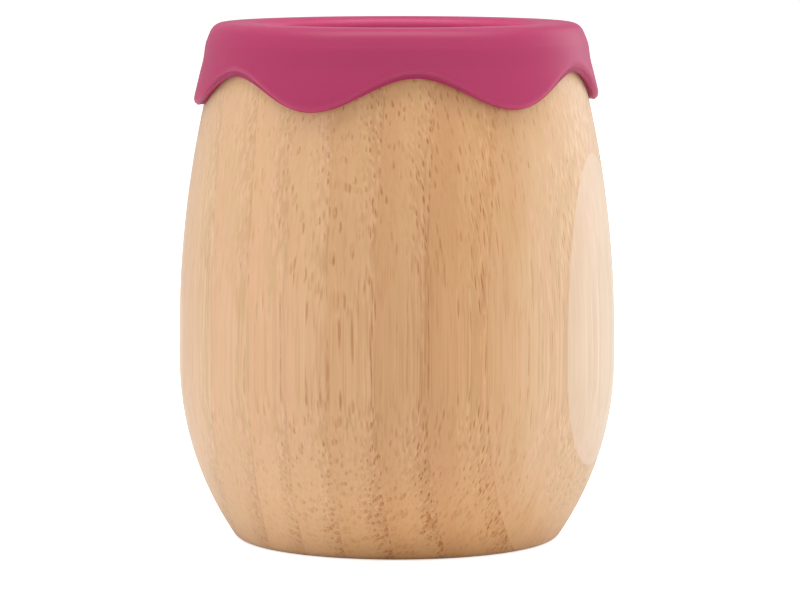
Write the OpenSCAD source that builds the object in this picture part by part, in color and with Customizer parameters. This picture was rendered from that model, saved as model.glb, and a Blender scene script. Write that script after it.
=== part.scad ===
// Small bamboo cup: a barrel-shaped shell turned from a block of glued strips, with a soft
// silicone liner whose lip folds over the rim and ends in a wavy skirt.
// Millimetres. +Z is up, the origin is the centre of the standing face and -Y is the front.

/* [Bamboo shell] */
// Diameter of the belly, the widest part
belly_d = 70; // [64:0.5:84]
// How far the outside is drawn in from the belly to the foot, before the foot's edge is rounded
foot_in = 9.3; // [6:0.1:12]
// How far the outside is drawn in from the belly to the rim, which the lip covers
rim_in = 7; // [5:0.1:8.5]
// Height of the wooden rim above the table
shell_h = 81.2; // [74:0.1:100]
// Height where the foot's curve runs into the straight band of the belly
band_z = 29; // [24:0.5:36]
// Height of the straight band itself
band_h = 3.8; // [1:0.1:10]
// Radius that rounds the edge of the standing face
foot_edge_r = 2.3; // [1:0.1:4]
// Chamfer on the outer and the inner edge of the wooden rim
rim_chamfer = 0.6; // [0.2:0.1:0.9]
// Thickness of the wooden floor
shell_floor = 6; // [4:0.5:12]

/* [Bore] */
// Thickness of the wood at the rim, between its outside and the bore
rim_wall = 3.7; // [3.2:0.1:6]
// Angle by which each side of the bore leans outwards
bore_draft = 2; // [0.5:0.25:4]
// Radius between the bore's wall and its floor
bore_corner_r = 6; // [3:0.5:9]

/* [Bamboo strips] */
// Angle between the strips' row and +X, towards the front
row_turn = 18; // [-90:1:90]

/* [Liner] */
// Wall of the inner cup
liner_wall = 1.8; // [1.2:0.1:2.4]
// Floor of the inner cup
liner_floor = 2; // [1.2:0.1:4]
// Clearance between the inner cup and the bore's wall
bore_gap = 0.25; // [0.15:0.05:0.6]
// Clearance between the inner cup and the bore's floor
floor_gap = 0.4; // [0.2:0.1:1]

/* [Lip and skirt] */
// Height of the lip above the wooden rim
lip_t = 1.8; // [1.2:0.1:3]
// Radius of the lip's corner to the mouth
lip_mouth_r = 1.6; // [0.8:0.1:2.2]
// Radius of the lip's corner to the skirt
lip_skirt_r = 2.8; // [1:0.1:3.6]
// Wall of the skirt
skirt_wall = 1.6; // [1.2:0.1:2.4]
// Clearance between the skirt and the wood
skirt_gap = 0.25; // [0.15:0.05:0.6]
// Drop from the wooden rim to the middle of the skirt's waves
skirt_drop = 8; // [6.5:0.1:14]
// Height of a wave from its middle to its top or bottom
wave_h = 2.9; // [1:0.1:3.5]
// Number of waves round the skirt
waves = 6; // [3:1:9]
// Angle from the front, towards +X, to the top of one wave
wave_turn = 5.3; // [0:0.1:60]
// Height of the rounded nose along the skirt's edge
nose_h = 0.8; // [0.4:0.1:1.2]

/* [Hidden] */
// Where the glue planes cross the row of strips, as shares of the belly's radius
seam_shares = [-0.87, -0.615, -0.39, -0.195, 0, 0.22, 0.43, 0.665, 0.925];
// How pale each strip is, from 0 to 1
pale_shares = [0.75, 0.6, 0.45, 0.55, 0.3, 0.15, 0.45, 0.25, 0.35, 1];
strip_dark = [0.79, 0.6, 0.42];
strip_pale = [0.93, 0.8, 0.66];
liner_pink = [0.73, 0.3, 0.43];

// Overrun of every cut
over = 1;
// Depth by which the waved part of the skirt is rooted in the lip, and how far within its walls
root_depth = 1;
root_inset = 0.02;
// Plain skirt kept between the lip's lower face and the top of the highest wave
root_clear = 0.4;
// Steps round one wave, along the skirt's height and round its nose
wave_steps = 20;
skirt_steps = 3;
nose_steps = 6;
// Farthest that a side of a drawn arc lies inside the true arc
arc_error = 0.01;
// Sides of a full turn
$fn = 180;

belly_r = belly_d / 2;
strip_count = len(seam_shares) + 1;
row_seams = [
    -belly_r - over,
    for (s = seam_shares) s * belly_r,
    belly_r + over
];

// Radii of the two long curves: each leaves the belly upright and is drawn in by its own amount
band_top = band_z + band_h;
foot_curve_r = (pow(foot_in, 2) + pow(band_z, 2)) / (2 * foot_in);
rim_curve_r = (pow(rim_in, 2) + pow(shell_h - band_top, 2)) / (2 * rim_in);

// Heights that the liner's pieces share
crest_z = shell_h + lip_t;
cup_bottom_z = shell_floor + floor_gap;
wave_z = shell_h - skirt_drop;
skirt_root_z = wave_z + wave_h + nose_h + root_clear;

function digits(i) = i < 10 ? str("0", i) : str(i);
strip_names = [for (i = [1 : strip_count]) str("bamboo_strip_", digits(i))];

// Points along an arc about a centre, from one angle to another, as close as arc_error asks
function arc(centre, r, from, to) =
    let (step = 2 * acos(1 - min(arc_error / r, 1)),
         n = max(2, ceil(abs(to - from) / step)))
    [for (i = [0 : n]) let (a = from + (to - from) * i / n) centre + r * [cos(a), sin(a)]];

// Angle at which the rim's long curve reaches height z, and the shell's radius there
function rim_angle(z) = asin((z - band_top) / rim_curve_r);
function wood_r(z) = belly_r - rim_curve_r * (1 - cos(rim_angle(z)));

// Radius of the bore's wall at height z
bore_top_r = belly_r - rim_in - rim_wall;
function bore_r(z) = bore_top_r - (shell_h - z) * tan(bore_draft);

// Where a round of radius r, tangent to height face_z, touches a long curve from within:
// its centre and the angle of the touching point
function round_in_curve(curve_x, curve_z, curve_r, r, face_z) =
    let (z = face_z + (face_z < curve_z ? r : -r),
         run = sqrt(pow(curve_r - r, 2) - pow(z - curve_z, 2)))
    [[curve_x + run, z], atan2(z - curve_z, run)];

// Outline of a tapered cup, from the middle of its floor up to height top_z, its wall and
// corner drawn in by inset from the bore's
function cup_outline(inset, floor_z, top_z) =
    let (r = bore_corner_r - inset,
         z = floor_z + r)
    concat(
        [[0, floor_z]],
        arc([bore_r(z) - inset - r / cos(bore_draft), z], r, -90, -bore_draft),
        [[bore_r(top_z) - inset, top_z]]
    );

// The same outline, from the top down to the middle of the floor
function cup_outline_down(inset, floor_z, top_z) =
    let (up = cup_outline(inset, floor_z, top_z))
    [for (i = [len(up) - 1 : -1 : 0]) up[i]];

// Half section of the turned and bored block
module shell_section() {
    foot_x = belly_r - foot_curve_r;
    foot_edge = round_in_curve(foot_x, band_z, foot_curve_r, foot_edge_r, 0);
    chamfer_z = shell_h - rim_chamfer;
    polygon(concat(
        [[0, 0]],
        arc(foot_edge[0], foot_edge_r, -90, foot_edge[1]),
        arc([foot_x, band_z], foot_curve_r, foot_edge[1], 0),
        arc([belly_r - rim_curve_r, band_top], rim_curve_r, 0, rim_angle(chamfer_z)),
        [[wood_r(shell_h) - rim_chamfer, shell_h], [bore_r(shell_h) + rim_chamfer, shell_h]],
        cup_outline_down(0, shell_floor, chamfer_z)
    ));
}

// One upright strip of the turned and bored block, counted from 0 along the row
module bamboo_strip(i) {
    color(strip_dark + (strip_pale - strip_dark) * pale_shares[i])
    intersection() {
        rotate_extrude() shell_section();
        rotate([0, 0, -row_turn])
        translate([row_seams[i], -belly_r - over, -over])
            cube([row_seams[i + 1] - row_seams[i], 2 * (belly_r + over), shell_h + 2 * over]);
    }
}

// Inner cup, lip and the plain upper part of the skirt, turned as one section
module liner_body() {
    inset = bore_gap + liner_wall;
    mouth_z = crest_z - lip_mouth_r;
    mouth_x = bore_r(mouth_z) - inset + lip_mouth_r / cos(bore_draft);
    skirt_in_x = belly_r - rim_curve_r + skirt_gap;
    skirt_out_x = skirt_in_x + skirt_wall;
    lip_corner = round_in_curve(skirt_out_x, band_top, rim_curve_r, lip_skirt_r, crest_z);
    root_angle = rim_angle(skirt_root_z);
    rotate_extrude() polygon(concat(
        cup_outline(inset, cup_bottom_z + liner_floor, mouth_z),
        arc([mouth_x, mouth_z], lip_mouth_r, 180 - bore_draft, 90),
        arc(lip_corner[0], lip_skirt_r, 90, lip_corner[1]),
        arc([skirt_out_x, band_top], rim_curve_r, lip_corner[1], root_angle),
        arc([skirt_in_x, band_top], rim_curve_r, root_angle, rim_angle(shell_h)),
        cup_outline_down(bore_gap, cup_bottom_z, shell_h)
    ));
}

// Height of the skirt's lowest edge at an angle from the front
function wave_edge(a) = wave_z + wave_h * cos(waves * (a - wave_turn));

// Closed section of the skirt at an angle: down the outside, round the nose and up the inside
function skirt_section(a) =
    let (nose_z = wave_edge(a) + nose_h,
         top_z = skirt_root_z + root_depth,
         in_r = skirt_gap + root_inset,
         out_r = skirt_gap + skirt_wall - root_inset,
         half = (out_r - in_r) / 2)
    concat(
        [for (i = [0 : skirt_steps])
            let (z = top_z + (nose_z - top_z) * i / skirt_steps) [wood_r(z) + out_r, z]],
        [for (i = [1 : nose_steps - 1])
            let (t = 180 * i / nose_steps)
            [wood_r(nose_z) + in_r + half + half * cos(t), nose_z - nose_h * sin(t)]],
        [for (i = [0 : skirt_steps])
            let (z = nose_z + (top_z - nose_z) * i / skirt_steps) [wood_r(z) + in_r, z]]
    );

// The waved part of the skirt: its sections joined all the way round
module waved_skirt() {
    rounds = waves * wave_steps;
    m = len(skirt_section(0));
    points = [for (k = [0 : rounds - 1])
        let (a = 360 * k / rounds)
        for (p = skirt_section(a)) [p[0] * sin(a), -p[0] * cos(a), p[1]]];
    faces = [for (k = [0 : rounds - 1], i = [0 : m - 1])
        let (j = (k + 1) % rounds, n = (i + 1) % m,
             q = [k * m + i, k * m + n, j * m + n, j * m + i])
        each [[q[0], q[2], q[1]], [q[0], q[3], q[2]]]];
    polyhedron(points = points, faces = faces);
}

// The whole soft moulding
module silicone_liner() {
    color(liner_pink) {
        liner_body();
        waved_skirt();
    }
}

for (i = [0 : strip_count - 1]) bamboo_strip(i);
silicone_liner();
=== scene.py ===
# A small bamboo cup with a silicone liner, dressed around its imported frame
import math

import bmesh
import bpy
import numpy as np
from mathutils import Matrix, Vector


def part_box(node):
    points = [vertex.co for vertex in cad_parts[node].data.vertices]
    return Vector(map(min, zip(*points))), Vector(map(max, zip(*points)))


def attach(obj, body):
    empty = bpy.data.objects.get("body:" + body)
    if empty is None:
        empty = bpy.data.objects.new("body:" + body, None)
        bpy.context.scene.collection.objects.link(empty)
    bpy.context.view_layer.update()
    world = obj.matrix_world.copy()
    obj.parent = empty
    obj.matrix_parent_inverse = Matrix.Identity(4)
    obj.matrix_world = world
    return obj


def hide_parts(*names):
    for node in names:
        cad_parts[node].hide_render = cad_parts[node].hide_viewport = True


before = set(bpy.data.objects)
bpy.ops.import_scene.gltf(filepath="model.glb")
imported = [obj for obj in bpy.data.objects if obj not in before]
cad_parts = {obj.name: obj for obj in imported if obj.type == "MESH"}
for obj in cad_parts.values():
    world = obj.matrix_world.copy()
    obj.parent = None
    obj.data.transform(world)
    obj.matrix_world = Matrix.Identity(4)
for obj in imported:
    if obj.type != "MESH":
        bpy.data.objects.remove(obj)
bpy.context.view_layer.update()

mm = 0.001
samePoint = 1e-6  # mm between two points that count as one
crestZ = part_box("silicone_liner")[1].z / mm
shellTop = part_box("bamboo_strip_05")[1].z / mm

# Shape helpers. Lengths are millimetres until a mesh is made.

def arcPoints(centre, radius, start, end, count):
    # points (r, z) = centre + radius * (cos a, sin a), with a going evenly from start to end in degrees
    a = np.radians(np.linspace(start, end, count))
    return np.stack([centre[0] + radius * np.cos(a), centre[1] + radius * np.sin(a)], 1)


def linePoints(start, end, count):
    # points that go evenly from start to end, both counted
    t = np.linspace(0, 1, count)[:, None]
    return np.array(start) * (1 - t) + np.array(end) * t


def joinRows(*stretches):
    # one row of points out of several stretches; a point that repeats the last one is left out
    rows = np.concatenate(stretches)
    step = np.abs(np.diff(rows, axis=0)).max(1)
    return rows[np.concatenate([[True], step > samePoint])]


def ringFaces(rowCount, columnCount):
    # quads between neighbouring rows of a grid that closes on itself across the columns
    i, j = np.meshgrid(np.arange(rowCount - 1), np.arange(columnCount), indexing="ij")
    nextJ = (j + 1) % columnCount
    low = i * columnCount
    high = low + columnCount
    return np.stack([low + j, low + nextJ, high + nextJ, high + j], -1).reshape(-1, 4)


def turnedMesh(name, radius, height, angles):
    # A surface of revolution whose profile may change with the angle: the point of row i and column j is
    # (radius sin angle, -radius cos angle, height), all rows closed round the axis, and a pole at each end.
    # radius and height are (rows, columns) arrays in mm; the first and the last row are the poles.
    rowCount, columnCount = radius.shape
    ring = np.stack([radius * np.sin(angles), -radius * np.cos(angles), height], -1) * mm
    poles = [[0, 0, height[0, 0] * mm], [0, 0, height[-1, 0] * mm]]
    verts = np.concatenate([ring[1:-1].reshape(-1, 3), poles])
    quads = ringFaces(rowCount - 2, columnCount)
    j = np.arange(columnCount)
    nextJ = (j + 1) % columnCount
    lastRow = (rowCount - 3) * columnCount
    firstPole = len(verts) - 2
    fans = [np.stack([nextJ, j, np.full(columnCount, firstPole)], 1),
            np.stack([lastRow + j, lastRow + nextJ, np.full(columnCount, firstPole + 1)], 1)]
    mesh = bpy.data.meshes.new(name)
    mesh.from_pydata(verts.tolist(), [], quads.tolist() + np.concatenate(fans).tolist())
    mesh.validate()
    return mesh


def pieceFromMesh(mesh, material, body, slot, *replaced):
    # an object at the origin that rides on a body, wears one material and stands for its CAD nodes
    piece = bpy.data.objects.new(mesh.name, mesh)
    bpy.context.scene.collection.objects.link(piece)
    mesh.materials.append(material)
    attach(piece, body)
    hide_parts(*replaced)
    return piece


# Node helpers

def addNode(tree, kind, values=None, **settings):
    # one node, with its plain settings and the values of its unlinked inputs
    node = tree.nodes.new(kind)
    for key, value in settings.items():
        setattr(node, key, value)
    for key, value in (values or {}).items():
        if isinstance(value, bpy.types.NodeSocket):
            tree.links.new(value, node.inputs[key])
        else:
            node.inputs[key].default_value = value
    return node


def mathNode(tree, operation, a, b=0.0, c=0.0, clamp=False):
    values = {0: a, 1: b, 2: c}
    return addNode(tree, "ShaderNodeMath", values, operation=operation, use_clamp=clamp).outputs[0]


def timesNode(tree, a, b, clamp=False):
    return mathNode(tree, "MULTIPLY", a, b, clamp=clamp)


def linearNode(tree, value, factor, offset):
    # value * factor + offset
    return mathNode(tree, "MULTIPLY_ADD", value, factor, offset)


def vectorNode(tree, operation, a, b=(0, 0, 0), c=(0, 0, 0)):
    return addNode(tree, "ShaderNodeVectorMath", {0: a, 1: b, 2: c}, operation=operation).outputs[0]


def easedNode(tree, value, low, high, lowTo=0.0, highTo=1.0):
    # the value carried from low..high to lowTo..highTo along a smooth step
    values = {"Value": value, "From Min": low, "From Max": high, "To Min": lowTo, "To Max": highTo}
    return addNode(tree, "ShaderNodeMapRange", values, interpolation_type="SMOOTHSTEP").outputs["Result"]


def mixColour(tree, factor, a, b, blend="MIX"):
    # sockets 0, 6 and 7 are a colour mix's factor and its two colours, output 2 is its result
    values = {0: factor, 6: a, 7: b}
    return addNode(tree, "ShaderNodeMix", values, data_type="RGBA", blend_type=blend).outputs[2]


def noiseNode(tree, vector, scale, detail=2.0, roughness=0.5):
    values = {"Vector": vector, "Scale": scale, "Detail": detail, "Roughness": roughness}
    return addNode(tree, "ShaderNodeTexNoise", values)


def newGroup(name, inputs, outputs):
    # a shader group with named sockets; each input is (socket type, name, starting value)
    tree = bpy.data.node_groups.new(name, "ShaderNodeTree")
    for kind, label, value in inputs:
        socket = tree.interface.new_socket(name=label, in_out="INPUT", socket_type=kind)
        if value is not None:
            socket.default_value = value
    for kind, label in outputs:
        tree.interface.new_socket(name=label, in_out="OUTPUT", socket_type=kind)
    return tree, tree.nodes.new("NodeGroupInput"), tree.nodes.new("NodeGroupOutput")


def newMaterial(name):
    material = bpy.data.materials.new(name)
    material.use_nodes = True
    return material, material.node_tree, material.node_tree.nodes["Principled BSDF"]


def toLinear(red, green, blue):
    # an sRGB colour from 0 to 255 as the linear colour that a socket takes
    srgb = np.array([red, green, blue]) / 255
    return (*np.where(srgb <= 0.04045, srgb / 12.92, ((srgb + 0.055) / 1.055) ** 2.4), 1.0)


# Bamboo

# A range of two is carried to 0..1 and one of four is (from, to, value at from, value at to).
bundles = {
    "sparseSpacing": 1.0,  # mm between the fibre bundles on the inner side of the culm wall
    "denseSpacing": 0.85,  # and on its outer side, where they crowd
    "crowding": (0.45, 0.85),  # shares of the strip's width over which sparse gives way to dense
    "flatness": 1.6,  # how many times closer they stand along the strip's breadth than across it
    "randomness": 0.85,
    "sizes": (0, 1, 0.75, 1.2),  # from the smallest to the largest bundle
    "capOffset": 0.27,  # share of the spacing from a bundle's middle to its dark caps
    "capWidth": 0.26,  # half thickness of a cap, as a share of the spacing
    "capLength": 0.2,  # half length of a cap across its thickness
    "footLength": 0.4,  # the same at the foot, where a cut shows the whole ring
    "capEdge": (0.1, 1.2, 1, 0),  # soft edge of a cap, in its formula's value
    "capSides": (-0.1, 0.1, 1, 0),  # x over which the weaker cap of a bundle gives way to the other
    "weakerCap": (0.2, 0.6, 0.35, 0.95),  # how much weaker it is, from bundle to bundle
    "footWhole": 0.65,  # share of that weakness which is gone at the foot
    "coreEdge": 0.05,  # distance from the middle to which a bundle's light core is full
    "web": (0.36, 0.62),  # distances from the middle where the ground between bundles sets in
    "sparseShown": (0.25, 0.75, 0.08, 0.82),  # from the faintest to the clearest sparse bundle
    "denseShown": (0.0, 0.4, 0.6, 1.0),  # and of the crowded ones
    "footSparse": 0.6,  # share of the sparse ones' strength which is lost at the foot
    "slowDrift": 1.5,  # mm by which a bundle wanders over a long way up
    "quickDrift": 0.3,  # and over a short way
}

grain = {
    # each noise: cycles a mm across the strip and upwards, detail and roughness
    "noises": {
        "slow": (0.05, 0.03, 1.0, 0.5),  # drift of the bundles over a long way up
        "quick": (0.5, 0.13, 1.0, 0.5),  # and over a short way
        "ragged": (0.3, 0.02, 2.0, 0.5),  # edge of the crowded side and of the glue line
        "patches": (1.1, 0.3, 2.0, 0.5),  # where bundles are faint
        "columns": (0.8, 0.012, 2.0, 0.5),  # rosy and golden stretches
        "fibre": (5.5, 0.1, 3.0, 0.6),
        "veins": (1.9, 0.045, 2.0, 0.6),
        "cloud": (0.12, 0.05, 2.0, 0.5),
        "streaks": (3.2, 0.03, 1.0, 0.5),
    },
    "seedSkew": 1.7,  # how much further a seed moves the noises along v than along u
    "foot": (4, 17, 1, 0),  # heights over which the foot's steep cut gives way to the belly's
    "edge": (0.5, 5, 0.05, 0),  # heights over which the lowest edge is darker, and by how much
    "beltHeight": 31.0,  # mm, the middle of the belt where the wood is cut along its fibres
    "belt": (8, 30, 1, 0.4),  # distances from it over which the fibres weaken
    "wander": 0.7,  # share of the strip's width over which the crowded side wanders
    "faint": (0.32, 0.55, 0.35, 1.0),  # levels of the patches where bundles are faint, and how faint
    "strength": (0.9, 0.2),  # of all marks, and what the foot adds
    "glueStart": (0.97, 1.0),  # shares of the width over which the glue line sets in
    "glueRagged": 0.03,  # and by how much of the width it is ragged
    "glueStrength": (0.7, -0.3),  # and what the foot adds
    "toneShare": (0.1, 0.95),  # shares of the width over which the first tone turns into the last
    "rosy": (255, 250, 249),  # tints that the ground is multiplied by, in columns and at the foot
    "golden": (252, 251, 243),
    "footTint": (255, 254, 247),
    "columnLevels": (0.35, 0.65),  # levels over which rosy gives way to golden
    "fibre": (0.06, 0.975),  # contrast and darkest shade
    "veins": (0.1, 0.955),
    "cloud": (0.12, 0.94),
    "coreLight": 0.11,  # how much lighter a bundle's middle is
    "webDark": (0.04, 0.1),  # how much darker the ground between bundles is, and what crowding adds
    "sparseWeb": 0.5,  # share of that between the sparse ones
    "footLight": 0.06,  # how much lighter the foot is
    "stainShare": (0.65, 1.0),  # shares of the width over which the stain beside the glue grows
    "stainVeins": (0.38, 0.6, 0.25, 1),  # levels of the veins that carry it
    "stainFoot": 0.4,  # what the foot adds to it
    "streaks": (0.52, 0.7, 0, 0.22),  # levels of the noise that makes dark streaks, and their strength
    "mark": (158, 92, 26),  # colour of bundles and glue
    "brown": (0.75, 1.0, 1.4),  # powers of the shade in red, green and blue: darker is browner
    "tone": (0.75, 0.2),  # strength of the palest bundle's colour, and what the darkest adds
    "roughness": (0.4, 0.12, 0.12),  # and what fibres and marks add
    "markDepth": 0.6,  # how deep a mark lies against the fibres' height
    "bumpStrength": 0.2,
    "bumpDepth": 0.03,  # mm
    # weight and roughness of the thin oil on the wood and of the sanded fibres' sheen
    "layers": {"Coat": (0.06, 0.35), "Sheen": (0.22, 0.3)},
}


def grainNoise(tree, seeded, name, output=0):
    # one of the noises, stretched along the grain; output 0 is its value and 1 its colour
    across, up, detail, roughness = grain["noises"][name]
    stretched = vectorNode(tree, "MULTIPLY", seeded, (across, across, up))
    return noiseNode(tree, stretched, 1.0, detail, roughness).outputs[output]


def bundleLayer(tree, at, spacing, length, oneSided):
    # Bundles are cells on the (across, along) plane. In a cell, with x across and y along from its middle,
    # a dark cap lies where ((|p| - offset) / width)^2 + (y / length)^2 is under 1, one on either side.
    scale = (1 / spacing, bundles["flatness"] / spacing, 1 / spacing)
    shifted = vectorNode(tree, "MULTIPLY_ADD", at["drifted"], scale, at["seed"])
    values = {"Vector": shifted, "Scale": 1.0, "Randomness": bundles["randomness"]}
    cells = addNode(tree, "ShaderNodeTexVoronoi", values, voronoi_dimensions="2D")
    fromMiddle = vectorNode(tree, "SUBTRACT", shifted, cells.outputs["Position"])
    local = addNode(tree, "ShaderNodeSeparateXYZ", {0: fromMiddle})
    chance = addNode(tree, "ShaderNodeSeparateColor", {0: cells.outputs["Color"]})
    size = easedNode(tree, chance.outputs[2], *bundles["sizes"])
    distance = mathNode(tree, "DIVIDE", cells.outputs["Distance"], size)
    ring = mathNode(tree, "SUBTRACT", distance, bundles["capOffset"])
    ring = mathNode(tree, "POWER", mathNode(tree, "DIVIDE", ring, bundles["capWidth"]), 2)
    along = mathNode(tree, "POWER", mathNode(tree, "DIVIDE", local.outputs[1], length), 2)
    cap = easedNode(tree, mathNode(tree, "ADD", ring, along), *bundles["capEdge"])
    # the cap on one side is often the weaker one
    side = easedNode(tree, local.outputs[0], *bundles["capSides"])
    weaker = timesNode(tree, side, easedNode(tree, chance.outputs[1], *bundles["weakerCap"]))
    weaker = timesNode(tree, weaker, oneSided)
    cap = timesNode(tree, cap, mathNode(tree, "SUBTRACT", 1.0, weaker))
    core = easedNode(tree, distance, bundles["coreEdge"], bundles["capOffset"], 1, 0)
    web = easedNode(tree, distance, *bundles["web"])
    return {"cap": cap, "core": core, "web": web, "chance": chance.outputs[0], "tone": chance.outputs[1]}


def placeInStrip(tree, given):
    # sockets that say where a point lies: u runs across the strip, v along its breadth and z up
    place = given.outputs["Position"]
    seedV = timesNode(tree, given.outputs["Seed"], grain["seedSkew"])
    seed = addNode(tree, "ShaderNodeCombineXYZ", {0: given.outputs["Seed"], 1: seedV}).outputs[0]
    seeded = vectorNode(tree, "ADD", place, seed)
    axes = addNode(tree, "ShaderNodeSeparateXYZ", {0: place})
    fromSeam = mathNode(tree, "SUBTRACT", axes.outputs[0], given.outputs["Seam"])
    share = mathNode(tree, "DIVIDE", fromSeam, given.outputs["Width"])
    height = axes.outputs[2]
    # bundles crowd towards the outer side of the culm wall, the side of the next seam
    ragged = grainNoise(tree, seeded, "ragged")
    crowd = linearNode(tree, mathNode(tree, "SUBTRACT", ragged, 0.5), grain["wander"], share)
    # bundles drift on their way up
    slow = vectorNode(tree, "MULTIPLY", grainNoise(tree, seeded, "slow", 1), (bundles["slowDrift"],) * 3)
    quick = vectorNode(tree, "MULTIPLY", grainNoise(tree, seeded, "quick", 1), (bundles["quickDrift"],) * 3)
    drifted = vectorNode(tree, "ADD", place, vectorNode(tree, "ADD", slow, quick))
    fade = easedNode(tree, grainNoise(tree, seeded, "patches"), *grain["faint"])
    beltDistance = mathNode(tree, "ABSOLUTE", mathNode(tree, "SUBTRACT", height, grain["beltHeight"]))
    return {
        "seed": seed, "seeded": seeded, "height": height, "share": share, "ragged": ragged,
        "crowd": crowd, "drifted": drifted, "fade": fade,
        "foot": easedNode(tree, height, *grain["foot"]),
        "upright": easedNode(tree, beltDistance, *grain["belt"]),
        "denseZone": easedNode(tree, crowd, *bundles["crowding"]),
    }


def markSockets(tree, given, at):
    # how dark a point is as part of a bundle or of the glue line, and what lies in and between bundles
    foot, fade = at["foot"], at["fade"]
    length = easedNode(tree, foot, 0, 1, bundles["capLength"], bundles["footLength"])
    oneSided = linearNode(tree, foot, -bundles["footWhole"], 1.0)
    sparse = bundleLayer(tree, at, bundles["sparseSpacing"], length, oneSided)
    dense = bundleLayer(tree, at, bundles["denseSpacing"], length, oneSided)
    sparseZone = easedNode(tree, at["crowd"], *bundles["crowding"], 1, 0)
    sparseShown = easedNode(tree, sparse["chance"], *bundles["sparseShown"])
    sparseShown = timesNode(tree, sparseShown, sparseZone)
    sparseShown = timesNode(tree, sparseShown, linearNode(tree, foot, -bundles["footSparse"], 1.0))
    denseShown = easedNode(tree, dense["chance"], *bundles["denseShown"])
    denseShown = timesNode(tree, denseShown, at["denseZone"])
    sparseMarks = timesNode(tree, sparse["cap"], sparseShown)
    marks = mathNode(tree, "MAXIMUM", sparseMarks, timesNode(tree, dense["cap"], denseShown))
    plain, footAdds = grain["strength"]
    strength = timesNode(tree, linearNode(tree, foot, footAdds, plain), given.outputs["Marks"])
    marks = timesNode(tree, timesNode(tree, marks, fade), strength, clamp=True)
    # the glue shows as a thin ragged line along the strip's second seam
    glue = linearNode(tree, at["ragged"], grain["glueRagged"], at["share"])
    glue = easedNode(tree, glue, *grain["glueStart"])
    plain, footAdds = grain["glueStrength"]
    glue = timesNode(tree, glue, linearNode(tree, foot, footAdds, plain))
    glue = timesNode(tree, timesNode(tree, glue, given.outputs["Glue"]), fade)
    sparseCores = timesNode(tree, sparse["core"], sparseShown)
    return {
        "marks": mathNode(tree, "MAXIMUM", marks, glue),
        "cores": mathNode(tree, "ADD", sparseCores, timesNode(tree, dense["core"], denseShown)),
        "web": mathNode(tree, "MAXIMUM", timesNode(tree, sparse["web"], grain["sparseWeb"]), dense["web"]),
        "tone": mathNode(tree, "MAXIMUM", sparse["tone"], dense["tone"]),
    }


def shadeSocket(tree, at, found, fibre, veins):
    # how light the ground is, about 1: fibres and veins where the wood is cut along them, clouds,
    # lighter cores, darker webs, a lighter foot and a darker lowest edge
    shade = linearNode(tree, fibre, *grain["fibre"])
    shade = timesNode(tree, shade, linearNode(tree, veins, *grain["veins"]))
    shade = linearNode(tree, mathNode(tree, "SUBTRACT", shade, 1.0), at["upright"], 1.0)
    shade = timesNode(tree, shade, linearNode(tree, grainNoise(tree, at["seeded"], "cloud"), *grain["cloud"]))
    shade = linearNode(tree, found["cores"], grain["coreLight"], shade)
    plain, crowdAdds = grain["webDark"]
    web = timesNode(tree, linearNode(tree, at["denseZone"], crowdAdds, plain), found["web"])
    shade = linearNode(tree, at["foot"], grain["footLight"], mathNode(tree, "SUBTRACT", shade, web))
    return mathNode(tree, "SUBTRACT", shade, easedNode(tree, at["height"], *grain["edge"]))


def stainSocket(tree, given, at, veins):
    # how far the ground goes over to the mark colour: beside the glue along some veins, and in streaks
    stain = easedNode(tree, at["crowd"], *grain["stainShare"])
    stain = timesNode(tree, stain, easedNode(tree, veins, *grain["stainVeins"]))
    stain = timesNode(tree, stain, linearNode(tree, at["foot"], grain["stainFoot"], 1.0))
    stain = timesNode(tree, timesNode(tree, stain, at["fade"]), given.outputs["Glue"])
    streaks = easedNode(tree, grainNoise(tree, at["seeded"], "streaks"), *grain["streaks"])
    streaks = timesNode(tree, streaks, given.outputs["Marks"])
    return linearNode(tree, streaks, at["upright"], stain)


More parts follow.
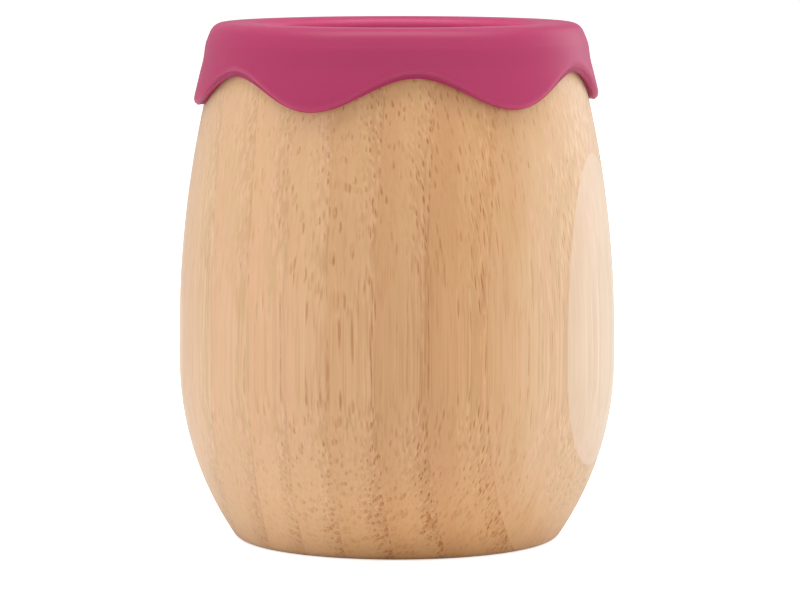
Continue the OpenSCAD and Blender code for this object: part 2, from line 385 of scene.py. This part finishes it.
def buildBambooGroup():
    # The grain of one glued strip as a solid. Bundles stand upright and drift a little, so a surface
    # cuts them into rings, dashes or long streaks.
    colour, number = "NodeSocketColor", "NodeSocketFloat"
    tree, given, out = newGroup("bambooGrain", [
        ("NodeSocketVector", "Position", None),
        (number, "Seam", 0.0), (number, "Width", 7.0), (number, "Seed", 0.0), (number, "Marks", 1.0),
        (number, "Glue", 0.07),
        (colour, "Warm", None), (colour, "Light", None), (colour, "Mark", None),
    ], [(colour, "Color"), (number, "Roughness"), (number, "Height")])
    at = placeInStrip(tree, given)
    found = markSockets(tree, given, at)
    marks = found["marks"]
    fibre = grainNoise(tree, at["seeded"], "fibre")
    veins = grainNoise(tree, at["seeded"], "veins")

    # ground colour: warm beside the first seam, lighter towards the next, in rosy and golden columns
    share = easedNode(tree, at["crowd"], *grain["toneShare"])
    ground = mixColour(tree, share, given.outputs["Warm"], given.outputs["Light"])
    rosy = mixColour(tree, 1.0, ground, toLinear(*grain["rosy"]), "MULTIPLY")
    golden = mixColour(tree, 1.0, ground, toLinear(*grain["golden"]), "MULTIPLY")
    columns = easedNode(tree, grainNoise(tree, at["seeded"], "columns"), *grain["columnLevels"])
    ground = mixColour(tree, columns, rosy, golden)
    footGround = mixColour(tree, 1.0, ground, toLinear(*grain["footTint"]), "MULTIPLY")
    ground = mixColour(tree, at["foot"], ground, footGround)
    ground = mixColour(tree, stainSocket(tree, given, at, veins), ground, given.outputs["Mark"])
    shade = shadeSocket(tree, at, found, fibre, veins)
    powers = {i: mathNode(tree, "POWER", shade, power) for i, power in enumerate(grain["brown"])}
    brown = addNode(tree, "ShaderNodeCombineXYZ", powers).outputs[0]
    ground = mixColour(tree, 1.0, ground, brown, "MULTIPLY")

    # marks on the ground
    plain, darkestAdds = grain["tone"]
    tone = linearNode(tree, found["tone"], darkestAdds, plain)
    result = mixColour(tree, timesNode(tree, marks, tone), ground, given.outputs["Mark"])
    tree.links.new(result, out.inputs["Color"])
    plain, fibreAdds, marksAdd = grain["roughness"]
    roughness = linearNode(tree, marks, marksAdd, linearNode(tree, fibre, fibreAdds, plain))
    tree.links.new(roughness, out.inputs["Roughness"])
    tree.links.new(linearNode(tree, marks, -grain["markDepth"], fibre), out.inputs["Height"])
    return tree


block = {
    "bellyRadius": 35.0,
    "rowTurn": 18.0,  # degrees from +X, towards the front, to the row of strips
    "seamShares": (-0.87, -0.615, -0.39, -0.195, 0.0, 0.22, 0.43, 0.665, 0.925),
    "seedStep": 11.3,  # mm between the strips' seeds, so that no two have the same grain
}

# Each strip: its first and last tone as sRGB, how strong its bundles and its second glue line show,
# and its material slot
strips = {
    "bamboo_strip_01": ((218, 182, 146), (226, 194, 163), 0.5, 0.12, "bamboo_light"),
    "bamboo_strip_02": ((214, 177, 141), (221, 187, 152), 0.5, 0.18, "bamboo_light"),
    "bamboo_strip_03": ((215, 176, 138), (218, 180, 143), 0.45, 0.12, "bamboo_warm"),
    "bamboo_strip_04": ((217, 176, 137), (217, 178, 140), 0.5, 0.12, "bamboo_light"),
    "bamboo_strip_05": ((214, 173, 133), (216, 175, 135), 0.75, 0.2, "bamboo_warm"),
    "bamboo_strip_06": ((207, 163, 119), (212, 169, 125), 0.95, 0.27, "bamboo_warm"),
    "bamboo_strip_07": ((202, 155, 109), (210, 166, 121), 1.0, 0.33, "bamboo_light"),
    "bamboo_strip_08": ((200, 152, 106), (213, 169, 123), 0.95, 0.18, "bamboo_warm"),
    # strip 09's last tone is partly its own and partly painted light: lighter towards its right side, where
    # the light from the right falls
    "bamboo_strip_09": ((207, 163, 119), (221, 188, 153), 0.7, 0.08, "bamboo_warm"),
    "bamboo_strip_10": ((216, 189, 163), (222, 198, 174), 0.1, 0.0, "bamboo_pale"),
}

def makeBambooMaterial(name, strip, group, seam, width, seed):
    warm, light, marks, glue = strip[:4]
    material, tree, shader = newMaterial(name)
    place = addNode(tree, "ShaderNodeTexCoord").outputs["Object"]
    turn = (0, 0, math.radians(block["rowTurn"]))
    turned = addNode(tree, "ShaderNodeMapping", {"Vector": place, "Rotation": turn, "Scale": (1 / mm,) * 3})
    values = {
        "Position": turned.outputs[0], "Seam": seam, "Width": width, "Seed": seed,
        "Marks": marks, "Glue": glue,
        "Warm": toLinear(*warm), "Light": toLinear(*light), "Mark": toLinear(*grain["mark"]),
    }
    wood = addNode(tree, "ShaderNodeGroup", values, node_tree=group)
    tree.links.new(wood.outputs["Color"], shader.inputs["Base Color"])
    tree.links.new(wood.outputs["Roughness"], shader.inputs["Roughness"])
    bump = addNode(tree, "ShaderNodeBump", {
        "Height": wood.outputs["Height"], "Strength": grain["bumpStrength"],
        "Distance": grain["bumpDepth"] * mm,
    })
    tree.links.new(bump.outputs[0], shader.inputs["Normal"])
    for layer, (weight, roughness) in grain["layers"].items():
        shader.inputs[layer + " Weight"].default_value = weight
        shader.inputs[layer + " Roughness"].default_value = roughness
    return material


shell = {
    "footIn": 9.3,  # from the belly's radius to the foot's
    "rimIn": 7.0,  # and to the rim's
    "bandLow": 29.0,  # where the belly's short straight band begins
    "bandHeight": 3.8,
    "footEdge": 2.3,  # radius of the foot's edge
    "rimRound": 0.6,  # radius of the rim's two edges
    "rimWall": 3.7,
    "boreDraft": 2.0,  # degrees by which the bore leans out
    "boreCorner": 6.0,
    "floor": 6.0,
    "sharpAngle": 40,  # degrees between faces from which their edge is sharp
    "columns": 480,
    # points along each stretch of the section
    "steps": {
        "base": 9, "footEdge": 12, "footCurve": 44, "belly": 4, "rimCurve": 50, "rimEdge": 7,
        "bore": 30, "boreCorner": 14, "boreFloor": 8,
    },
}


def curveRadius(drawnIn, height):
    # radius of the arc that leaves the belly upright and is drawn in by so much after this height
    return (drawnIn ** 2 + height ** 2) / (2 * drawnIn)


bandTop = shell["bandLow"] + shell["bandHeight"]
rimCurve = curveRadius(shell["rimIn"], shellTop - bandTop)
boreTop = block["bellyRadius"] - shell["rimIn"] - shell["rimWall"]


def woodRadius(z):
    # outside of the shell above the belly: the arc's x at height z
    return block["bellyRadius"] - rimCurve + np.sqrt(rimCurve ** 2 - (z - bandTop) ** 2)


def boreRadius(z):
    return boreTop - (shellTop - z) * math.tan(math.radians(shell["boreDraft"]))


def shellProfile():
    # closed half section of the block: up the outside, round the rim, down the bore to its floor's middle
    belly, edge, low = block["bellyRadius"], shell["footEdge"], shell["bandLow"]
    footCurve = curveRadius(shell["footIn"], low)
    footX = belly - footCurve
    edgeX = footX + math.sqrt((footCurve - edge) ** 2 - (low - edge) ** 2)
    meet = math.degrees(math.atan2(edge - low, edgeX - footX))
    rimTurn = math.degrees(math.asin((shellTop - bandTop) / rimCurve))
    rounding = shell["rimRound"]
    roundZ = shellTop - rounding
    lean = shell["boreDraft"]
    outX = woodRadius(roundZ) - rounding * math.cos(math.radians(rimTurn))
    inX = boreRadius(roundZ) + rounding / math.cos(math.radians(lean))
    corner = shell["boreCorner"]
    cornerZ = shell["floor"] + corner
    cornerX = boreRadius(cornerZ) - corner / math.cos(math.radians(lean))
    steps = shell["steps"]
    curveEnd = rimTurn * (1 - rounding / shellTop)
    return joinRows(
        linePoints((0, 0), (edgeX, 0), steps["base"]),
        arcPoints((edgeX, edge), edge, -90, meet, steps["footEdge"]),
        arcPoints((footX, low), footCurve, meet, 0, steps["footCurve"]),
        linePoints((belly, low), (belly, bandTop), steps["belly"]),
        arcPoints((belly - rimCurve, bandTop), rimCurve, 0, curveEnd, steps["rimCurve"])[:-1],
        arcPoints((outX, roundZ), rounding, rimTurn, 90, steps["rimEdge"]),
        arcPoints((inX, roundZ), rounding, 90, 180 - lean, steps["rimEdge"]),
        linePoints((boreRadius(roundZ), roundZ), (boreRadius(cornerZ), cornerZ), steps["bore"])[1:-1],
        arcPoints((cornerX, cornerZ), corner, -lean, -90, steps["boreCorner"]),
        linePoints((cornerX, shell["floor"]), (0, shell["floor"]), steps["boreFloor"]),
    )


def sawnStrip(name, blockMesh, seams):
    # the part of the block between two upright planes, with its sawn faces closed
    turn = math.radians(block["rowTurn"])
    across = np.array([math.cos(turn), -math.sin(turn), 0])
    work = bmesh.new()
    work.from_mesh(blockMesh)
    for seam, side in zip(seams, (1, -1)):
        if abs(seam) >= block["bellyRadius"]:
            continue
        geometry = work.verts[:] + work.edges[:] + work.faces[:]
        cut = bmesh.ops.bisect_plane(
            work, geom=geometry, plane_co=across * seam * mm, plane_no=across * side, clear_inner=True)
        edges = [item for item in cut["geom_cut"] if isinstance(item, bmesh.types.BMEdge)]
        bmesh.ops.triangle_fill(work, edges=edges, use_beauty=True, normal=-across * side)
    bmesh.ops.recalc_face_normals(work, faces=work.faces[:])
    mesh = bpy.data.meshes.new(name)
    work.to_mesh(mesh)
    work.free()
    mesh.shade_smooth()
    mesh.set_sharp_from_angle(angle=math.radians(shell["sharpAngle"]))
    return mesh


def makeShell():
    profile = shellProfile()
    angles = np.linspace(0, 2 * math.pi, shell["columns"], endpoint=False)
    ones = np.ones(len(angles))
    blockMesh = turnedMesh("block", profile[:, :1] * ones, profile[:, 1:] * ones, angles)
    reach = block["bellyRadius"]
    seams = [-reach, *(share * reach for share in block["seamShares"]), reach]
    group = buildBambooGroup()
    for i, (node, strip) in enumerate(strips.items()):
        name = node.replace("bamboo_strip", "cup_strip")
        seed = block["seedStep"] * (i + 1)
        material = makeBambooMaterial(name, strip, group, seams[i], seams[i + 1] - seams[i], seed)
        mesh = sawnStrip(name, blockMesh, (seams[i], seams[i + 1]))
        slot = strip[-1]
        pieceFromMesh(mesh, material, "shell", slot, node)
    bpy.data.meshes.remove(blockMesh)
    print("shell:", len(strips), "strips")


makeShell()


# Silicone liner

liner = {
    "wall": 1.8,
    "floor": 2.0,
    "boreGap": 0.25,
    "floorGap": 0.4,
    "mouthRound": 1.6,
    "crestEnd": 27.5,  # radius where the flat crest begins to fall
    "cornerPull": (29.7, 29.95),  # radii of the lip corner's two control points
    "cornerPullZ": 81.2,  # height of the lower one
    "cornerEnd": 80.0,  # height where the lip's corner runs into the skirt
    "shoulder": 0.33,  # how much fuller the skirt is under the lip's corner
    "shoulderDrop": 3.4,  # height over which that fades
    "skirtGap": 0.25,
    "skirtWall": 1.56,
    "waveMiddle": 73.2,
    "waveHeight": 2.9,
    "waves": 6,
    "waveTurn": 5.3,  # degrees from the front, towards +X, to the top of a wave
    "tilt": 0.3,  # how much higher the edge is at the right than in the middle
    "noseOut": 1.15,  # height of the edge's round on the outside
    "noseIn": 0.5,  # and on the inside
    "innerDrop": (0.1, 0.75),  # how far the wall's inner half reaches lower, at a lobe and at an arch
    "closeIn": 0.17,  # how much nearer to the wood the wall's inner side comes at its edge
    "closeOver": 2.5,  # and the height over which it does
    "leastDrop": 0.02,  # least height between the outer half's lowest line and the inner half's
    "innerRound": 0.3,  # radius under the lip where the skirt's inside turns over the rim
    "innerRoundStart": 20,  # degrees
    "boreRound": 0.4,  # radius where the lip's underside turns down into the bore
    "straightStart": 0.5,  # depth below the rim where the cup's outside is straight
    "columns": 420,
    # points along each stretch of the section
    "steps": {
        "floor": 9, "innerCorner": 12, "wall": 26, "mouth": 12, "crest": 6, "lipCorner": 18,
        "skirt": 24, "noseOut": 8, "noseIn": 6, "skirtInside": 16, "underLip": 5, "outerWall": 24,
        "outerCorner": 12, "bottom": 8,
    },
}


def skirtWave(angles):
    # the skirt's wave, 1 at the top of an arch and -1 at the bottom of a lobe
    return np.cos(liner["waves"] * (angles - math.radians(liner["waveTurn"])))


def edgeHeight(angles):
    # lowest line of the skirt's outer side: the wave round the axis, on a slightly tilted plane
    return liner["waveMiddle"] + liner["waveHeight"] * skirtWave(angles) + liner["tilt"] * np.sin(angles)


def skirtRadius(z):
    # outside of the skirt: the wood's outside, the gap and the wall, and a shoulder that eases in upwards
    t = np.clip((z - liner["cornerEnd"]) / liner["shoulderDrop"] + 1, 0, 1)
    return woodRadius(z) + liner["skirtGap"] + liner["skirtWall"] + liner["shoulder"] * t * t * (3 - 2 * t)


def bezierPoints(p0, p1, p2, p3, count):
    t = np.linspace(0, 1, count)[:, None]
    a, b, c, d = (np.array(p) for p in (p0, p1, p2, p3))
    return a * (1 - t) ** 3 + 3 * b * t * (1 - t) ** 2 + 3 * c * t * t * (1 - t) + d * t ** 3


def linerSurface(angles):
    # All rows of the liner's closed surface as (rows, columns) arrays, from the middle of the drinking
    # side's floor up to the mouth, over the lip, down the skirt, round its nose, up inside it, and down
    # the inner cup's outside to the middle of its bottom. Only the skirt's rows change with the angle.
    lean = shell["boreDraft"]
    draft = math.radians(lean)
    steps = liner["steps"]
    inset = liner["boreGap"] + liner["wall"]
    bottomZ = shell["floor"] + liner["floorGap"]
    floorZ = bottomZ + liner["floor"]
    innerCorner = shell["boreCorner"] - inset
    outerCorner = shell["boreCorner"] - liner["boreGap"]
    mouthRound = liner["mouthRound"]
    mouthZ = crestZ - mouthRound
    mouthX = boreRadius(mouthZ) - inset + mouthRound / math.cos(draft)
    innerX = boreRadius(floorZ + innerCorner) - inset - innerCorner / math.cos(draft)
    outerX = boreRadius(bottomZ + outerCorner) - liner["boreGap"] - outerCorner / math.cos(draft)
    wallLow = (innerX + innerCorner * math.cos(draft), floorZ + innerCorner - innerCorner * math.sin(draft))
    wallHigh = (mouthX - mouthRound * math.cos(draft), mouthZ + mouthRound * math.sin(draft))
    end = liner["cornerEnd"]
    upper = joinRows(
        linePoints((0, floorZ), (innerX, floorZ), steps["floor"]),
        arcPoints((innerX, floorZ + innerCorner), innerCorner, -90, -lean, steps["innerCorner"]),
        linePoints(wallLow, wallHigh, steps["wall"])[1:],
        arcPoints((mouthX, mouthZ), mouthRound, 180 - lean, 90, steps["mouth"]),
        linePoints((mouthX, crestZ), (liner["crestEnd"], crestZ), steps["crest"]),
        bezierPoints((liner["crestEnd"], crestZ), (liner["cornerPull"][0], crestZ),
                     (liner["cornerPull"][1], liner["cornerPullZ"]), (skirtRadius(end), end),
                     steps["lipCorner"]),
    )
    ones = np.ones(len(angles))
    rows = [(upper[:, :1] * ones, upper[:, 1:] * ones)]

    # down the outside of the skirt to the start of its nose
    edge = edgeHeight(angles)
    down = np.linspace(0, 1, steps["skirt"])[1:, None]
    z = end + (edge + liner["noseOut"] - end) * down
    rows.append((skirtRadius(z), z))
    # round the nose: a quarter of a tall ellipse outside, and a quarter of a low ellipse inside, lower down
    half = liner["skirtWall"] / 2
    t = np.linspace(0, math.pi / 2, steps["noseOut"])[1:, None]
    z = edge + liner["noseOut"] * (1 - np.sin(t))
    rows.append((skirtRadius(z) - half + half * np.cos(t), z))
    lobeDrop, archDrop = liner["innerDrop"]
    drop = lobeDrop + (archDrop - lobeDrop) * (1 + skirtWave(angles)) / 2
    t = np.linspace(0, math.pi / 2, steps["noseIn"])[:-1, None]
    inner = edge - drop + liner["noseIn"]
    z = np.minimum(inner - liner["noseIn"] * np.cos(t), edge - liner["leastDrop"])
    rows.append((skirtRadius(z) - half - (half + liner["closeIn"]) * np.sin(t), z))
    # up inside the skirt, and under the lip to the bore
    up = np.linspace(0, 1, steps["skirtInside"])[:, None]
    z = inner + (shellTop - liner["boreRound"] - inner) * up
    closer = liner["closeIn"] * np.clip(1 - (z - inner) / liner["closeOver"], 0, 1)
    rows.append((woodRadius(z) + liner["skirtGap"] - closer, z))
    innerRound, boreRound = liner["innerRound"], liner["boreRound"]
    rimX = woodRadius(shellTop) + liner["skirtGap"] - innerRound
    boreX = boreRadius(shellTop) - liner["boreGap"] + boreRound
    straightZ = shellTop - liner["straightStart"]
    cornerZ = bottomZ + outerCorner
    lower = joinRows(
        arcPoints((rimX, shellTop - innerRound), innerRound, liner["innerRoundStart"], 90, steps["underLip"]),
        linePoints((rimX, shellTop), (boreX, shellTop), steps["underLip"]),
        arcPoints((boreX, shellTop - boreRound), boreRound, 90, 180 - lean, steps["underLip"]),
        linePoints((boreRadius(straightZ) - liner["boreGap"], straightZ),
                   (boreRadius(cornerZ) - liner["boreGap"], cornerZ), steps["outerWall"]),
        arcPoints((outerX, cornerZ), outerCorner, -lean, -90, steps["outerCorner"])[1:],
        linePoints((outerX, bottomZ), (0, bottomZ), steps["bottom"]),
    )
    rows.append((lower[:, :1] * ones, lower[:, 1:] * ones))
    return np.concatenate([r for r, z in rows]), np.concatenate([z for r, z in rows])


silicone = {
    "face": (171, 55, 98),
    "paintedEdgeShade": (150, 30, 76),  # painted shade: a darker colour on the wall's inner half, where it shows below the outer one
    "paintedEdgeShadeStart": 0.05,  # mm over which that sets in
    "mouth": (206, 78, 124),  # painted light: a lighter colour on the mouth's inside, as if light shone through the wall
    "paintedLightStart": (0.05, 0.8),  # mm below the lip's top over which that sets in
    "mouthDepth": 14.0,  # mm below the lip's top where that has faded
    "cloudScale": 45.0,  # cycles a metre of its faint clouds
    "cloud": (0.06, 0.97),  # contrast and darkest shade
    "speckScale": 2600.0,  # and of its fine specks
    "roughness": 0.45,
    "speckRoughness": 0.1,  # how much the specks change it
    "bumpStrength": 0.15,
    "bumpDepth": 0.01,  # mm
    "specular": 0.33,
    "scatter": 0.6,  # share of the light that enters the silicone
    "scatterDepth": (2.0, 0.5, 0.8),  # mm that its red, green and blue travel
}


def makeSiliconeMaterial():
    material, tree, shader = newMaterial("silicone")
    place = addNode(tree, "ShaderNodeTexCoord").outputs["Object"]
    # painted shade: a darker colour where the wall's inner half shows below the outer edge
    inner = addNode(tree, "ShaderNodeAttribute", attribute_name="paintedEdgeShade").outputs["Fac"]
    cloud = noiseNode(tree, place, silicone["cloudScale"]).outputs[0]
    speck = noiseNode(tree, place, silicone["speckScale"]).outputs[0]
    colour = mixColour(tree, inner, toLinear(*silicone["face"]), toLinear(*silicone["paintedEdgeShade"]))
    # painted light: a lighter colour on the mouth's inside
    mouth = addNode(tree, "ShaderNodeAttribute", attribute_name="mouthPaintedLight").outputs["Fac"]
    colour = mixColour(tree, mouth, colour, toLinear(*silicone["mouth"]))
    shade = linearNode(tree, cloud, *silicone["cloud"])
    grey = addNode(tree, "ShaderNodeCombineXYZ", {0: shade, 1: shade, 2: shade}).outputs[0]
    colour = mixColour(tree, 1.0, colour, grey, "MULTIPLY")
    tree.links.new(colour, shader.inputs["Base Color"])
    change = silicone["speckRoughness"]
    rough = linearNode(tree, speck, change, silicone["roughness"] - change / 2)
    tree.links.new(rough, shader.inputs["Roughness"])
    bump = addNode(tree, "ShaderNodeBump", {
        "Height": speck, "Strength": silicone["bumpStrength"], "Distance": silicone["bumpDepth"] * mm,
    })
    tree.links.new(bump.outputs[0], shader.inputs["Normal"])
    shader.inputs["Specular IOR Level"].default_value = silicone["specular"]
    shader.inputs["Subsurface Weight"].default_value = silicone["scatter"]
    shader.inputs["Subsurface Radius"].default_value = silicone["scatterDepth"]
    shader.inputs["Subsurface Scale"].default_value = mm
    return material


def makeLiner():
    angles = np.linspace(0, 2 * math.pi, liner["columns"], endpoint=False)
    radius, height = linerSurface(angles)
    mesh = turnedMesh("cup_liner", radius[::-1], height[::-1], angles)
    mesh.shade_smooth()
    # painted shade: mark what lies below the skirt's outer edge, for its darker colour
    co = np.empty(len(mesh.vertices) * 3)
    mesh.vertices.foreach_get("co", co)
    x, y, z = co.reshape(-1, 3).T / mm
    below = edgeHeight(np.arctan2(x, -y)) - z
    onSkirt = np.hypot(x, y) > woodRadius(np.maximum(z, bandTop)) + liner["skirtGap"] / 2
    inner = np.clip(below / silicone["paintedEdgeShadeStart"], 0, 1) * onSkirt
    paintedEdgeShade = mesh.attributes.new("paintedEdgeShade", "FLOAT", "POINT")
    paintedEdgeShade.data.foreach_set("value", inner.astype(np.float32))
    # painted light on the mouth's inside: full under the lip's round, fading downwards
    inside = np.hypot(x, y) < boreRadius(z) - liner["boreGap"] - liner["wall"] / 2
    low, high = silicone["paintedLightStart"]
    fading = np.clip((crestZ - z - low) / (high - low), 0, 1) * inside
    fading *= np.clip(1 - (crestZ - z) / silicone["mouthDepth"], 0, 1)
    paintedMouthLight = mesh.attributes.new("mouthPaintedLight", "FLOAT", "POINT")
    paintedMouthLight.data.foreach_set("value", fading.astype(np.float32))
    pieceFromMesh(mesh, makeSiliconeMaterial(), "liner", "silicone", "silicone_liner")
    print("liner:", len(mesh.vertices), "points")


makeLiner()


# Studio

studio = {
    "floorSize": 14.0,  # metres
    "floorColour": 0.9,
    "floorRoughness": 0.9,
    "floorSink": 0.02,  # mm that the floor lies under the cup
    "floorGlow": 0.7,  # white that the floor shows beyond its light, so that the far floor stays white
    "world": 0.45,  # white of the surroundings as light, which shows as 1
    "lampAim": 0.045,  # height on the cup's axis that the lamps face
    # each lamp: place, width and height in metres, power in watts, and whether it shows in reflections
    "lamps": {
        "lamp_rim": ((0.72, 0.6, 0.3), 0.55, 0.55, 1.6, True),
        "lamp_right": ((0.85, -0.05, 0.28), 0.55, 0.55, 1.9, False),
        "lamp_left": ((-0.85, 0.05, 0.28), 0.55, 0.55, 2.3, False),
        "lamp_front": ((0.1, -1.15, 0.34), 0.9, 0.9, 2.45, False),
        "lamp_above": ((0.0, -0.12, 0.95), 1.2, 0.3, 7.5, True),
    },
}


def makeFloor():
    half = studio["floorSize"] / 2
    mesh = bpy.data.meshes.new("studio_floor")
    corners = [(-half, -half, 0), (half, -half, 0), (half, half, 0), (-half, half, 0)]
    mesh.from_pydata(corners, [], [(0, 1, 2, 3)])
    floor = bpy.data.objects.new("studio_floor", mesh)
    bpy.context.scene.collection.objects.link(floor)
    floor.location.z = -studio["floorSink"] * mm
    material, tree, shader = newMaterial("studio_floor")
    shader.inputs["Base Color"].default_value = (studio["floorColour"],) * 3 + (1,)
    shader.inputs["Roughness"].default_value = studio["floorRoughness"]
    shader.inputs["Emission Color"].default_value = (1, 1, 1, 1)
    seen = addNode(tree, "ShaderNodeLightPath").outputs["Is Camera Ray"]
    tree.links.new(timesNode(tree, seen, studio["floorGlow"]), shader.inputs["Emission Strength"])
    mesh.materials.append(material)


def makeLamp(name, location, width, height, power, mirrored):
    # a soft rectangular lamp that faces the cup
    data = bpy.data.lights.new(name, "AREA")
    data.shape, data.size, data.size_y, data.energy = "RECTANGLE", width, height, power
    lamp = bpy.data.objects.new(name, data)
    bpy.context.scene.collection.objects.link(lamp)
    lamp.visible_glossy = mirrored
    lamp.location = location
    ray = Vector((0, 0, studio["lampAim"])) - Vector(location)
    lamp.rotation_euler = ray.to_track_quat("-Z", "Y").to_euler()


def makeStudio():
    world = bpy.data.worlds.new("studio")
    world.use_nodes = True
    background = world.node_tree.nodes["Background"]
    background.inputs["Color"].default_value = (1, 1, 1, 1)
    seen = addNode(world.node_tree, "ShaderNodeLightPath").outputs["Is Camera Ray"]
    strength = linearNode(world.node_tree, seen, 1 - studio["world"], studio["world"])
    world.node_tree.links.new(strength, background.inputs["Strength"])
    bpy.context.scene.world = world
    makeFloor()
    for name, settings in studio["lamps"].items():
        makeLamp(name, *settings)


camera = {
    "place": (0.49, -707.0, 108.5),  # mm
    "pitch": 5.67,  # degrees below the horizon
    "lens": 198.7,
    "sensor": 36,
    "clip": (0.05, 50),  # metres
}


def makeCamera():
    data = bpy.data.cameras.new("photo_camera")
    data.sensor_width, data.lens = camera["sensor"], camera["lens"]
    data.clip_start, data.clip_end = camera["clip"]
    item = bpy.data.objects.new("photo_camera", data)
    bpy.context.scene.collection.objects.link(item)
    item.location = np.array(camera["place"]) * mm
    item.rotation_euler = (math.radians(90 - camera["pitch"]), 0, 0)
    bpy.context.scene.camera = item


makeStudio()
makeCamera()
bpy.context.scene.view_settings.view_transform = "Standard"
print("studio: floor, lamps and camera")
